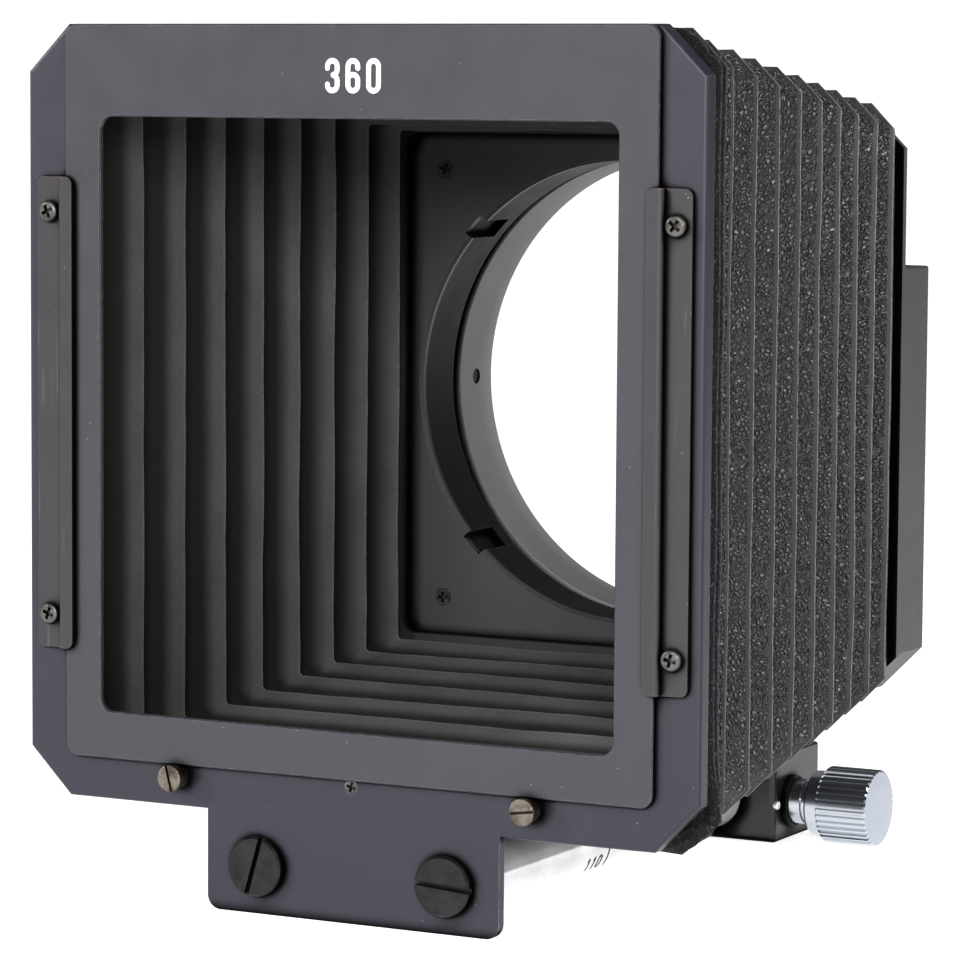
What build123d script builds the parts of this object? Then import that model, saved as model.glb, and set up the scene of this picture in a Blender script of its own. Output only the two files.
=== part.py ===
from build123d import *
import math
import os

# Bellows lens hood: a front frame that holds a drop-in mask, a pleated bellows, and a rear
# standard that grips the lens. Millimetres. X is the width, Z is up, the front faces -Y.
# Everything is drawn with the front plate's face at Y = 0 and the lens axis on X = Z = 0, then
# moved back by MOUTH_Y so that the origin is the centre of the lens bore's rear mouth.

# ---- driving dimensions -------------------------------------------------------------------
PLATE_WIDTH = 135.0
PLATE_HEIGHT = 140.0
PLATE_RISE = 0.6            # the front plate's centre sits this far above the lens axis
PLATE_THICK = 1.9
PLATE_CHAMFER = 8.5
RIM_DEPTH = 3.0             # folded edge round the front plate
RIM_WALL = 1.6
PLATE_OPENING = (109.0, -56.5, 57.5)    # width, bottom, top
OPENING_CORNER = 4.0
BASE_Z = -87.4              # lowest edge of the tab and of the rail bracket
TAB_WIDTH = 59.0
TAB_CORNER = 2.6

MASK_WIDTH = 118.1
MASK_TOP = 70.6
MASK_BOTTOM = -61.75
MASK_THICK = 1.0
MASK_GAP = 0.05             # the mask slides this far in front of the plate
MASK_OPENING = (103.2, -53.15, 54.15)   # width, bottom, top
MASK_CORNER = 2.4

CLIP_LENGTH = 85.5
CLIP_CENTRE_Z = 0.5
CLIP_SHEET = 0.7
CLIP_LIP = 57.2             # inner edge of the lip that laps over the mask
CLIP_WEB = 60.2
CLIP_OUTER = 65.25
CLIP_LIP_BACK = -1.15
CLIP_SCREW_X = 62.45
CLIP_SCREW_Z = 36.5

PIN_X = 35.5
PIN_Z = -63.9
PIN_LENGTH = 3.7
CENTRE_SCREW_Z = -63.0
ROD_X = 19.0
ROD_Z = -78.7
ROD_RADIUS = 6.5
ROD_WALL = 1.3
ROD_SCREW_RADIUS = 2.5
PLUG_RADIUS = ROD_RADIUS - ROD_WALL - 0.02
ROD_END_Y = 132.6

PLEATS = 9
WRAP_CREASE = 10.7          # first crease, behind the part wrapped round the front frame
WRAP_CREASE_HALF = (60.8, 65.6)    # half width and half height of the cover at that crease
SIDE_DEPTH = 7.7            # pleat depth on the left and right walls, at the second crease
SIDE_DEPTH_GAIN = 0.045     # how much deeper it gets per mm towards the rear
TOP_DEPTH = 5.1             # pleat depth on the roof and the floor
CREASE_CUT = 1.2            # the creases' corners are nearly square; the folds' corners are cut
COVER = 1.0                 # leathercloth with its card stiffeners, measured square to the walls
LINING = 0.6                # cloth glued to the inside

FRONT_FRAME_BACK = 5.4
REAR_FRAME_FRONT = 106.0
REAR_Y = 108.7              # front face of the rear plate
REAR_THICK = 1.5
REAR_HALF = (58.4, 57.2)
REAR_SCREW_X = 40.5
REAR_SCREW_Z = 43.2
COLLAR_RADIUS = 45.5
COLLAR_END_Y = 122.0
NOTCH_ANGLES = (43.5, 136.5, 223.5, 316.5)
NOTCH_DEPTH = 1.6
NOTCH_WIDTH = 5.0
NOTCH_END_Y = 119.0
FLANGE_RADIUS = 52.4        # the collar's shoulder and the flange of the mount ring
SHOULDER_Y = 117.8
HOUSING_HALF = 58.3
HOUSING_TOP = 26.0
HOUSING_BOTTOM = -56.5
HOUSING_BACK_Y = 122.5
HOUSING_WALL = 1.6
BACK_WALL = 2.0
BORE_RADIUS = 46.0          # the bore that takes a lens adapter
BORE_FRONT_Y = 126.0
MOUTH_Y = 139.5
RING_RADIUS = 49.72
LOCK_Y = 133.0              # screw on the left of the ring that grips the lens adapter
LOCK_RADIUS = 1.5
LOCK_HEAD_RADIUS = 3.6
LOCK_TEETH = 20

BRACKET_HALF = 32.7
BRACKET_Y = (110.0, 132.3)
BRACKET_TOP = -70.0
BRACKET_SCREW_X = 22.0
BRACKET_SCREW_Y = (113.6, 118.6)
NECK_Y = 116.25
NECK_DEPTH = 8.5
FOOT_THICK = 2.0
BUSH_RADIUS = 7.3
SHOE_RADIUS = 2.4
CLAMP_SCREW_RADIUS = 2.0
CLAMP_Y = 118.0
CLAMP_Z = -79.95
GUIDE_PIN_Y = 111.25
GUIDE_PIN_RADIUS = 0.9
KNOB_RADIUS = 7.5
KNOB_TEETH = 36
KNOB_X = (41.0, 51.5)

RUNNING = 0.05              # radial clearance of a sliding or turning fit
HOLE = 0.06                 # radial clearance of a screw in its hole

os.makedirs("parts", exist_ok=True)


# ---- helpers ------------------------------------------------------------------------------
def slab(outline, y0, y1):
    """An outline drawn in X and Z, made solid from y0 to y1."""
    return extrude(Plane.XZ.offset(-y1) * outline, amount=y1 - y0, dir=(0, -1, 0))


def pin_y(x, z, radius, y0, y1):
    return slab(Pos(x, z) * Circle(radius), y0, y1)


def pin_x(y, z, radius, x0, x1):
    return extrude(Plane.YZ.offset(x0) * (Pos(y, z) * Circle(radius)), amount=x1 - x0)


def octagon(half_w, half_h, cut_w, cut_h, centre_z=0.0):
    """A rectangle in X and Z with its four corners cut off."""
    corners = []
    for sx, sz, first in ((1, 1, "side"), (-1, 1, "end"), (-1, -1, "side"), (1, -1, "end")):
        side = (sx * half_w, centre_z + sz * (half_h - cut_h))
        end = (sx * (half_w - cut_w), centre_z + sz * half_h)
        corners += [side, end] if first == "side" else [end, side]
    return Polygon(*corners, align=None)


def frame_outline(width, bottom, top, corner):
    """A rounded rectangle in X and Z between two heights."""
    return Pos(0, (bottom + top) / 2) * RectangleRounded(width, top - bottom, corner)


def cross_recess(x, y, z, size, depth, turn):
    """The cross cut of a screw head whose face is at y and looks to -Y."""
    bar = Box(size, depth * 2, size * 0.27)
    both = bar + Rot(0, 90, 0) * bar
    return Pos(x, y, z) * Rot(0, turn, 0) * both


def slot_cut(x, y, z, length, width, depth, turn):
    return Pos(x, y, z) * Rot(0, turn, 0) * Box(length, depth * 2, width)


def domed_head(x, z, radius, y_front, y_back, soften):
    """A round screw head with a softened front edge."""
    head = pin_y(x, z, radius, y_front, y_back)
    return fillet(head.edges().sort_by(Axis.Y)[0], soften)


def save(node, shape):
    """Move a finished sub-part into the part's own frame and write it."""
    solids = shape if isinstance(shape, list) else [shape]
    placed = Compound(children=[Location((0, -MOUTH_Y, 0)) * s for item in solids for s in item.solids()])
    export_step(placed, f"parts/{node}.step")


# ---- front standard -----------------------------------------------------------------------
def front_plate():
    half_w = PLATE_WIDTH / 2
    half_h = PLATE_HEIGHT / 2
    face = octagon(half_w, half_h, PLATE_CHAMFER, PLATE_CHAMFER, PLATE_RISE)
    inside_cut = PLATE_CHAMFER - 0.6
    inner = octagon(half_w - RIM_WALL, half_h - RIM_WALL, inside_cut, inside_cut, PLATE_RISE)
    body = slab(face, 0, RIM_DEPTH) - slab(inner, PLATE_THICK, RIM_DEPTH + 1)
    body = fillet(body.faces().sort_by(Axis.Y)[0].edges(), 0.7)
    tab_top = PLATE_RISE - half_h + 4
    tab = slab(frame_outline(TAB_WIDTH, BASE_Z, tab_top, TAB_CORNER), 0, PLATE_THICK)
    tab = tab + slab(frame_outline(TAB_WIDTH, BASE_Z + 8, tab_top, 0.4), 0, PLATE_THICK)
    body = body + tab
    body = body - slab(frame_outline(*PLATE_OPENING, OPENING_CORNER), -1, RIM_DEPTH + 1)
    for x, z in clip_screw_places():
        body = body - pin_y(x, z, 1.0 + HOLE, -1, RIM_DEPTH + 1)
    for side in (-1, 1):
        body = body - pin_y(side * PIN_X, PIN_Z, 1.0 + HOLE, -1, RIM_DEPTH + 1)
        body = body - pin_y(side * ROD_X, ROD_Z, ROD_SCREW_RADIUS + HOLE, -1, RIM_DEPTH + 1)
    body = body - centre_screw_shape(HOLE)
    return body


def clip_screw_places():
    return [(sx * CLIP_SCREW_X, CLIP_CENTRE_Z + sz * CLIP_SCREW_Z) for sx in (-1, 1) for sz in (-1, 1)]


def mask_clip(side):
    """A Z-section strip: a flange on the plate, a web, and a lip that laps over the mask."""
    lip_front = CLIP_LIP_BACK - CLIP_SHEET
    section = Polygon(
        (CLIP_OUTER, 0), (CLIP_OUTER, -CLIP_SHEET), (CLIP_WEB, -CLIP_SHEET), (CLIP_WEB, lip_front),
        (CLIP_LIP, lip_front), (CLIP_LIP, CLIP_LIP_BACK), (CLIP_WEB - CLIP_SHEET, CLIP_LIP_BACK),
        (CLIP_WEB - CLIP_SHEET, 0), align=None)
    half = CLIP_LENGTH / 2
    start = Plane.XY.offset(CLIP_CENTRE_Z - half)
    strip = extrude(start * section, amount=CLIP_LENGTH, dir=(0, 0, 1))
    bends = strip.edges().filter_by(Axis.Z).filter_by(lambda e: abs(e.center().X - CLIP_WEB) < 0.01)
    strip = fillet(bends.sort_by(Axis.Y)[0], 0.8)
    keep = Pos((CLIP_LIP + CLIP_OUTER) / 2, CLIP_CENTRE_Z)
    keep = keep * RectangleRounded(CLIP_OUTER - CLIP_LIP, CLIP_LENGTH, 1.4)
    strip = strip & slab(keep, -5, 5)
    for x, z in clip_screw_places():
        if x > 0:
            strip = strip - pin_y(x, z, 1.0 + HOLE, -5, 5)
    return strip if side > 0 else mirror(strip, about=Plane.YZ)


def clip_screws():
    turns = (20, -25, 12, 38)
    out = []
    for (x, z), turn in zip(clip_screw_places(), turns):
        head = domed_head(x, z, 1.85, -CLIP_SHEET - 1.15, -CLIP_SHEET, 0.5)
        screw = head + pin_y(x, z, 1.0, -CLIP_SHEET, RIM_DEPTH + 1.5)
        out.append(screw - cross_recess(x, -CLIP_SHEET - 1.15, z, 2.3, 0.8, turn))
    return out


def mask_pins():
    """Two slotted shoulder pins that the mask's lower edge rests on."""
    out = []
    for side, turn in ((-1, 76), (1, -8)):
        x = side * PIN_X
        head = domed_head(x, PIN_Z, 2.4, -PIN_LENGTH, -PIN_LENGTH + 0.9, 0.25)
        pin = head + pin_y(x, PIN_Z, 2.05, -PIN_LENGTH + 0.9, 0) + pin_y(x, PIN_Z, 1.0, 0, RIM_DEPTH + 1.5)
        out.append(pin - slot_cut(x, -PIN_LENGTH, PIN_Z, 6, 0.5, 0.45, turn))
    return out


def centre_screw_shape(extra):
    cone = Cone(1.35 + extra, 0.8 + extra, 0.9, rotation=(-90, 0, 0))
    cone = Pos(0, 0.45, CENTRE_SCREW_Z) * cone
    return cone + pin_y(0, CENTRE_SCREW_Z, 0.8 + extra, 0.8, 5.0 + extra)


def centre_screw():
    return centre_screw_shape(0) - cross_recess(0, 0, CENTRE_SCREW_Z, 1.8, 0.55, 15)


def mask_plate():
    width, bottom, top = MASK_OPENING
    outline = frame_outline(MASK_WIDTH, MASK_BOTTOM, MASK_TOP, MASK_CORNER)
    plate = slab(outline, -MASK_GAP - MASK_THICK, -MASK_GAP)
    plate = plate - slab(frame_outline(width, bottom, top, MASK_CORNER), -5, 5)
    front = plate.faces().sort_by(Axis.Y)[0]
    return chamfer(front.edges(), 0.25)


def rod_screws():
    """Large slotted screws that draw the rods against the back of the tab."""
    out = []
    for side, turn in ((-1, -74), (1, 4)):
        x = side * ROD_X
        head = pin_y(x, ROD_Z, 5.4, -1.7, 0)
        head = chamfer(head.edges().sort_by(Axis.Y)[0], 0.35)
        screw = head + pin_y(x, ROD_Z, ROD_SCREW_RADIUS, 0, 10.0)
        out.append(screw - slot_cut(x, -1.7, ROD_Z, 12, 0.95, 1.2, turn))
    return out


def rod(side):
    x = side * ROD_X
    tube = pin_y(x, ROD_Z, ROD_RADIUS, PLATE_THICK, ROD_END_Y)
    return tube - pin_y(x, ROD_Z, ROD_RADIUS - ROD_WALL, PLATE_THICK - 1, ROD_END_Y + 1)


def rod_plugs():
    out = []
    for side in (-1, 1):
        x = side * ROD_X
        plug = pin_y(x, ROD_Z, PLUG_RADIUS, PLATE_THICK, 14.0)
        out.append(plug - pin_y(x, ROD_Z, ROD_SCREW_RADIUS + HOLE, 0, 11.0))
    return out


def rod_stops():
    """Flanged caps on the rods' rear ends: they stop the front standard at full extension."""
    out = []
    for side in (-1, 1):
        x = side * ROD_X
        flange = pin_y(x, ROD_Z, 7.8, ROD_END_Y, ROD_END_Y + 1.6)
        flange = chamfer(flange.edges().sort_by(Axis.Y)[-1], 0.4)
        plug = pin_y(x, ROD_Z, PLUG_RADIUS, ROD_END_Y - 6, ROD_END_Y)
        out.append(flange + plug)
    return out


def bellows_front_frame():
    """Flat ring behind the front plate that the bellows is glued round."""
    ring = slab(octagon(65.2, 67.7, 8.4, 8.4), PLATE_THICK, FRONT_FRAME_BACK)
    ring = ring - slab(frame_outline(111.0, -58.0, 58.5, 4.0), 0, 9)
    for x, z in clip_screw_places():
        ring = ring - pin_y(x, z, 1.0 + HOLE, 0, 9)
    for side in (-1, 1):
        ring = ring - pin_y(side * PIN_X, PIN_Z, 1.0 + HOLE, 0, 9)
    return ring - pin_y(0, CENTRE_SCREW_Z, 0.8 + HOLE, 0, 5.2)


# ---- bellows ------------------------------------------------------------------------------
def peak_y(k):
    """Pleats stand a little closer together towards the rear."""
    return 14.0 + 12.35 * k - 0.135 * k * k


def half_width(y):
    return 67.0 - 0.085 * y


def half_height(y):
    return 69.8 - 0.122 * y


def bellows_stations():
    """(y, half width, half height, corner cut) along the outside, from front to rear."""
    out = [(RIM_DEPTH + 0.05, 66.3, 69.4, 7.6), (4.6, 66.9, 69.9, 7.4), (8.8, 66.8, 69.7, 7.2)]
    out.append((WRAP_CREASE, *WRAP_CREASE_HALF, 2.4))
    for k in range(PLEATS):
        y = peak_y(k)
        out.append((y, half_width(y), half_height(y), 4.7))
        if k < PLEATS - 1:
            mid = (y + peak_y(k + 1)) / 2
            side_depth = SIDE_DEPTH + SIDE_DEPTH_GAIN * (mid - peak_y(0))
            out.append((mid, half_width(mid) - side_depth, half_height(mid) - TOP_DEPTH, CREASE_CUT))
    out.append((REAR_Y - 0.05, half_width(REAR_Y) - 1.4, half_height(REAR_Y) - 1.0, 6.0))
    return out


def bellows_tube(inset):
    sections = []
    for y, w, h, cut in bellows_stations():
        outline = octagon(w - inset, h - inset, cut - inset * 0.4, cut - inset * 0.4)
        sections.append(Plane.XZ.offset(-y) * outline)
    return loft(sections, ruled=True)


def bellows_cover():
    return bellows_tube(0) - bellows_tube(COVER)


def bellows_lining():
    """Cloth inside the cover, between the two glued frames."""
    tube = bellows_tube(COVER + 0.05) - bellows_tube(COVER + 0.05 + LINING)
    reach = slab(Rectangle(200, 200), FRONT_FRAME_BACK + 0.05, REAR_FRAME_FRONT - 0.05)
    return tube & reach


def bellows_rear_frame():
    """Flat ring in front of the rear plate that the bellows is glued round."""
    ring = slab(octagon(54.6, 53.6, 7.0, 7.0), REAR_FRAME_FRONT, REAR_Y)
    return ring - slab(frame_outline(97.4, -50.6, 50.6, 3.0), 100, 112)


# ---- rear standard ------------------------------------------------------------------------
def rear_screw_places():
    return [(sx * REAR_SCREW_X, sz * REAR_SCREW_Z) for sx in (-1, 1) for sz in (-1, 1)]


def notch_cutters(y0, y1):
    """Four notches that run back through the rear plate and the collar behind it."""
    out = []
    for angle in NOTCH_ANGLES:
        box = Pos(COLLAR_RADIUS + NOTCH_DEPTH / 2 - 1.0, 0) * Rectangle(NOTCH_DEPTH + 2.0, NOTCH_WIDTH)
        out.append(slab(Rot(0, 0, angle) * box, y0, y1))
    return out


def rear_plate():
    plate = slab(octagon(REAR_HALF[0], REAR_HALF[1], 8.5, 8.5), REAR_Y, REAR_Y + REAR_THICK)
    hole = pin_y(0, 0, COLLAR_RADIUS, REAR_Y - 1, REAR_Y + REAR_THICK + 1)
    plate = plate - hole
    rim = plate.edges().filter_by(GeomType.CIRCLE).sort_by(Axis.Y)[0]
    plate = chamfer(rim, 0.6)
    for x, z in rear_screw_places():
        plate = plate - rear_screw_shape(x, z, HOLE)
    for cutter in notch_cutters(REAR_Y - 1, REAR_Y + 5):
        plate = plate - cutter
    return plate


def rear_screw_shape(x, z, extra):
    head = Pos(x, REAR_Y + 0.5, z) * Cone(1.8 + extra, 0.95 + extra, 1.0, rotation=(-90, 0, 0))
    return head + pin_y(x, z, 0.95 + extra, REAR_Y + 0.9, REAR_Y + 9)


def rear_plate_screws():
    out = []
    for i, (x, z) in enumerate(rear_screw_places()):
        out.append(rear_screw_shape(x, z, 0) - cross_recess(x, REAR_Y, z, 2.2, 0.45, 17 * i))
    return out


def light_collar():
    """Collar behind the rear plate: its shoulder keeps the mount ring's flange in place."""
    y0 = REAR_Y + REAR_THICK
    collar = pin_y(0, 0, FLANGE_RADIUS, y0, SHOULDER_Y) + pin_y(0, 0, 48.0, SHOULDER_Y, COLLAR_END_Y)
    collar = collar - pin_y(0, 0, COLLAR_RADIUS + 0.1, y0 - 1, COLLAR_END_Y + 1)
    for cutter in notch_cutters(y0 - 1, NOTCH_END_Y):
        collar = collar - cutter
    return collar


def housing_outline():
    middle = (HOUSING_TOP + HOUSING_BOTTOM) / 2
    half_h = (HOUSING_TOP - HOUSING_BOTTOM) / 2
    box = octagon(HOUSING_HALF, half_h, 8.3, 8.3, middle)
    square_top = Pos(0, HOUSING_TOP - 10) * Rectangle(2 * HOUSING_HALF, 20)
    return box + square_top


def rear_housing():
    """U-shaped shell behind the rear plate: two side walls and a floor, open at the top."""
    y0 = REAR_Y + REAR_THICK
    shell = slab(housing_outline(), y0, HOUSING_BACK_Y)
    shell = fillet(shell.edges().filter_by(Axis.Y).filter_by(lambda e: e.center().Z > HOUSING_TOP - 1), 0.5)
    rim = shell.faces().sort_by(Axis.Y)[-1].edges().filter_by(lambda e: e.center().Z < HOUSING_TOP - 1)
    shell = fillet(rim, 0.4)
    shell = shell - slab(housing_inside(), y0 - 1, HOUSING_BACK_Y + 1)
    for x, y in bracket_screw_places():
        shell = shell - Pos(x, y, HOUSING_BOTTOM) * Cylinder(1.0 + HOLE, 4 * HOUSING_WALL)
    return shell


def housing_inside():
    """The space between the shell's walls, in X and Z."""
    half = HOUSING_HALF - HOUSING_WALL
    return octagon(half, 60, 7.4, 7.4, HOUSING_BOTTOM + HOUSING_WALL + 60)


def housing_back():
    """Wall inside the shell's rear edge, arched round the mount ring, on four screw posts."""
    y0 = REAR_Y + REAR_THICK
    back = HOUSING_BACK_Y - BACK_WALL
    below = slab(Pos(0, HOUSING_TOP - 60) * Rectangle(200, 120), back, HOUSING_BACK_Y)
    wall = slab(housing_inside(), back, HOUSING_BACK_Y) & below
    wall = wall + pin_y(0, 0, 54.0, back, HOUSING_BACK_Y)
    for x, z in rear_screw_places():
        wall = wall + pin_y(x, z, 3.2, y0, back) + pin_y(x, z, 6.2, back, HOUSING_BACK_Y)
    for x, z in rear_screw_places():
        wall = wall - pin_y(x, z, 0.95 + HOLE, y0 - 1, REAR_Y + 9.2)
    return wall - pin_y(0, 0, RING_RADIUS + 0.08, back - 1, HOUSING_BACK_Y + 1)


def mount_ring():
    """Turning ring that grips a lens adapter; its flange runs inside the housing."""
    back = HOUSING_BACK_Y - BACK_WALL
    ring = pin_y(0, 0, FLANGE_RADIUS, SHOULDER_Y + 0.3, back - 0.2)
    ring = ring + pin_y(0, 0, RING_RADIUS, back - 0.2, MOUTH_Y)
    ring = chamfer(ring.edges().filter_by(GeomType.CIRCLE).sort_by(Axis.Y)[-1], 0.5)
    ring = ring + pin_x(LOCK_Y, 0, 4.0, -52.2, -48.5)
    ring = ring - pin_y(0, 0, BORE_RADIUS, 110, MOUTH_Y + 1) - pin_y(0, 0, 48.35, 110, BORE_FRONT_Y)
    return ring - pin_x(LOCK_Y, 0, LOCK_RADIUS + 0.08, -53, -44)


# ---- lens lock ----------------------------------------------------------------------------
def lens_lock_pad():
    return pin_x(LOCK_Y, 0, LOCK_RADIUS, -48.6, -46.3)


def lens_lock_screw():
    """Screw with a straight-knurled head."""
    head = pin_x(LOCK_Y, 0, LOCK_HEAD_RADIUS, -58.2, -53.4)
    reach = LOCK_HEAD_RADIUS + 0.15
    for i in range(LOCK_TEETH):
        angle = 2 * math.pi * i / LOCK_TEETH
        head = head - pin_x(LOCK_Y + reach * math.cos(angle), reach * math.sin(angle), 0.35, -59, -54.2)
    neck = pin_x(LOCK_Y, 0, 2.4, -53.4, -52.5)
    shank = pin_x(LOCK_Y, 0, LOCK_RADIUS, -52.5, -48.65)
    return head + neck + shank


# ---- rail bracket and rod clamp -----------------------------------------------------------
def bracket_screw_places():
    return [(side * BRACKET_SCREW_X, y) for side in (-1, 1) for y in BRACKET_SCREW_Y]


def rail_bracket():
    """Block that the rods slide through, carried under the housing on a short neck."""
    y0, y1 = BRACKET_Y
    block = slab(frame_outline(2 * BRACKET_HALF, BASE_Z, BRACKET_TOP, 0.6), y0, y1)
    edges = block.edges().filter_by(Axis.X).sort_by(Axis.Z)[-2:]
    block = fillet(edges, 1.2)
    neck = Box(34.0, NECK_DEPTH, HOUSING_BOTTOM - BRACKET_TOP)
    neck = Pos(0, NECK_Y, (BRACKET_TOP + HOUSING_BOTTOM) / 2) * neck
    foot = Pos(0, NECK_Y, HOUSING_BOTTOM - FOOT_THICK / 2) * Box(52.0, NECK_DEPTH, FOOT_THICK)
    block = block + neck + foot + pin_x(CLAMP_Y, CLAMP_Z, 5.0, BRACKET_HALF - 1, 34.0)
    for side in (-1, 1):
        x = side * ROD_X
        block = block - pin_y(x, ROD_Z, ROD_RADIUS + 0.3, y0 - 1, y1 + 1)
        block = block - pin_y(x, ROD_Z, BUSH_RADIUS + RUNNING, y0 + 1.5, y1 + 1)
    block = block - pin_x(CLAMP_Y, CLAMP_Z, SHOE_RADIUS + 0.1, 22.0, 30.0)
    block = block - pin_x(CLAMP_Y, CLAMP_Z, CLAMP_SCREW_RADIUS + 0.08, 29, 36)
    block = block - pin_x(GUIDE_PIN_Y, CLAMP_Z, GUIDE_PIN_RADIUS + HOLE, 28.0, 34.0)
    for x, y in bracket_screw_places():
        block = block - Pos(x, y, HOUSING_BOTTOM) * Cylinder(1.0 + HOLE, 8.0)
    return block


def rod_bushes():
    y0 = BRACKET_Y[0] + 1.5
    out = []
    for side in (-1, 1):
        x = side * ROD_X
        bush = pin_y(x, ROD_Z, BUSH_RADIUS, y0 + 0.02, BRACKET_Y[1] - 0.1)
        bush = bush - pin_y(x, ROD_Z, ROD_RADIUS + RUNNING, y0 - 1, BRACKET_Y[1] + 1)
        if side > 0:
            bush = bush - pin_x(CLAMP_Y, CLAMP_Z, SHOE_RADIUS + 0.2, 22.0, 30.0)
        out.append(bush)
    return out


def bracket_screws():
    out = []
    for x, y in bracket_screw_places():
        shank = Pos(x, y, HOUSING_BOTTOM - 0.3) * Cylinder(1.0, 3.4)
        head = Pos(x, y, HOUSING_BOTTOM - FOOT_THICK - 0.6) * Cylinder(1.8, 1.2)
        head = fillet(head.edges().sort_by(Axis.Z)[0], 0.4)
        out.append(shank + head)
    return out


def guide_pin():
    """Short round-ended pin beside the clamp: it locks the right bush in the bracket."""
    pin = pin_x(GUIDE_PIN_Y, CLAMP_Z, GUIDE_PIN_RADIUS, 28.5, 33.3)
    return fillet(pin.edges().sort_by(Axis.X)[-1], 0.5)


def clamp_shoe():
    """Brass plug that presses on the right rod."""
    return pin_x(CLAMP_Y, CLAMP_Z, SHOE_RADIUS, ROD_X + ROD_RADIUS + 0.15, 28.0)


def clamp_screw():
    return pin_x(CLAMP_Y, CLAMP_Z, CLAMP_SCREW_RADIUS, 28.1, 46.0)


def clamp_collar():
    collar = pin_x(CLAMP_Y, CLAMP_Z, 4.4, 34.15, 36.4)
    collar = collar - pin_x(CLAMP_Y, CLAMP_Z, CLAMP_SCREW_RADIUS + HOLE, 34, 37)
    return chamfer(collar.edges().filter_by(GeomType.CIRCLE).sort_by(Axis.X)[-1], 0.3)


def clamp_knob():
    """Straight-knurled knob with a plain step on its inner side."""
    x0, x1 = KNOB_X
    points = []
    for i in range(KNOB_TEETH):
        for share, radius in ((0.0, KNOB_RADIUS), (0.32, KNOB_RADIUS), (0.5, KNOB_RADIUS - 0.5),
                              (0.82, KNOB_RADIUS - 0.5)):
            angle = 2 * math.pi * (i + share) / KNOB_TEETH
            points.append((CLAMP_Y + radius * math.cos(angle), CLAMP_Z + radius * math.sin(angle)))
    face = Plane.YZ.offset(x0) * Polygon(*points, align=None)
    knurled = extrude(face, amount=x1 - x0, dir=(1, 0, 0))
    envelope = pin_x(CLAMP_Y, CLAMP_Z, KNOB_RADIUS, x0, x1)
    envelope = chamfer(envelope.edges().filter_by(GeomType.CIRCLE), 0.3)
    flange = pin_x(CLAMP_Y, CLAMP_Z, 6.4, 38.0, x0)
    flange = chamfer(flange.edges().filter_by(GeomType.CIRCLE).sort_by(Axis.X)[0], 0.5)
    crown = Cone(KNOB_RADIUS - 0.6, 4.0, 0.25, align=(Align.CENTER, Align.CENTER, Align.MIN))
    crown = Pos(x1, CLAMP_Y, CLAMP_Z) * Rot(0, 90, 0) * crown
    knob = (knurled & envelope) + flange + pin_x(CLAMP_Y, CLAMP_Z, 4.0, 36.5, 38.0) + crown
    return knob - pin_x(CLAMP_Y, CLAMP_Z, CLAMP_SCREW_RADIUS + HOLE, 36, 46.2)


# ---- write every sub-part -----------------------------------------------------------------
save("front_plate", front_plate())
save("mask_clip_left", mask_clip(-1))
save("mask_clip_right", mask_clip(1))
save("clip_screws", clip_screws())
save("mask_pins", mask_pins())
save("centre_screw", centre_screw())
save("mask_plate", mask_plate())
save("rod_screws", rod_screws())
save("rod_left", rod(-1))
save("rod_right", rod(1))
save("rod_plugs", rod_plugs())
save("rod_stops", rod_stops())
save("bellows_front_frame", bellows_front_frame())
save("bellows_cover", bellows_cover())
save("bellows_lining", bellows_lining())
save("bellows_rear_frame", bellows_rear_frame())
save("rear_plate", rear_plate())
save("rear_plate_screws", rear_plate_screws())
save("light_collar", light_collar())
save("rear_housing", rear_housing())
save("housing_back", housing_back())
save("mount_ring", mount_ring())
save("lens_lock_pad", lens_lock_pad())
save("lens_lock_screw", lens_lock_screw())
save("rail_bracket", rail_bracket())
save("rod_bushes", rod_bushes())
save("bracket_screws", bracket_screws())
save("guide_pin", guide_pin())
save("clamp_shoe", clamp_shoe())
save("clamp_screw", clamp_screw())
save("clamp_collar", clamp_collar())
save("clamp_knob", clamp_knob())
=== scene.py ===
import math

import bmesh
import bpy
from mathutils import Matrix, Vector, noise


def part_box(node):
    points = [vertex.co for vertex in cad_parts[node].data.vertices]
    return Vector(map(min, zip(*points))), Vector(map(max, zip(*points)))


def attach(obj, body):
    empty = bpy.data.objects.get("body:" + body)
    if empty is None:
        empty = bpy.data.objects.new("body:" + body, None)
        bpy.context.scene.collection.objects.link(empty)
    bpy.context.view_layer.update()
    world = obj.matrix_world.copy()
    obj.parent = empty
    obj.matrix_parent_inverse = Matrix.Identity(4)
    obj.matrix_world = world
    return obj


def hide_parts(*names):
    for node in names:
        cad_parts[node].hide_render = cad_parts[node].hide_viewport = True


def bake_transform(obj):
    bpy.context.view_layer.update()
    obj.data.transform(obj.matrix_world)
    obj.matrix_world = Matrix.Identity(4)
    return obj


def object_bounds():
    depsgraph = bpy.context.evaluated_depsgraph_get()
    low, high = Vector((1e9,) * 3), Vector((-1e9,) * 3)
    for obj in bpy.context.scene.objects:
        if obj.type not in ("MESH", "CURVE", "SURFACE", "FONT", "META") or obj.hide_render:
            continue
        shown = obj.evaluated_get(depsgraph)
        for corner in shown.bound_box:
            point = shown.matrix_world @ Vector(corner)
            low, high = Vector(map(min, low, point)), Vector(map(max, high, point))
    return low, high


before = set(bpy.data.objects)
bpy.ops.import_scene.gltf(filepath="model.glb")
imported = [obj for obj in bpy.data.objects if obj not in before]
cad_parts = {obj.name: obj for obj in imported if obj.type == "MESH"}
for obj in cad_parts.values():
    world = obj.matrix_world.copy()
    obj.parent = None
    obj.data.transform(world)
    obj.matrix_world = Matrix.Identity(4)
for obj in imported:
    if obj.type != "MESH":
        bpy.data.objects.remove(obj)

CAD_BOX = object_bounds()
MM = 0.001
LEATHER_CELLS = 1280.0             # grains of the leathercloth per metre
THREAD = 1.1 * MM                  # spacing of the lining's threads
STROKE_STEP = 0.25 * MM            # longest straight run of printed ink, so that it follows a rod
INK = 0.02 * MM                    # height of printed ink
AMBIENT = 0.2                      # white light from all round, beside the lamps
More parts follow.
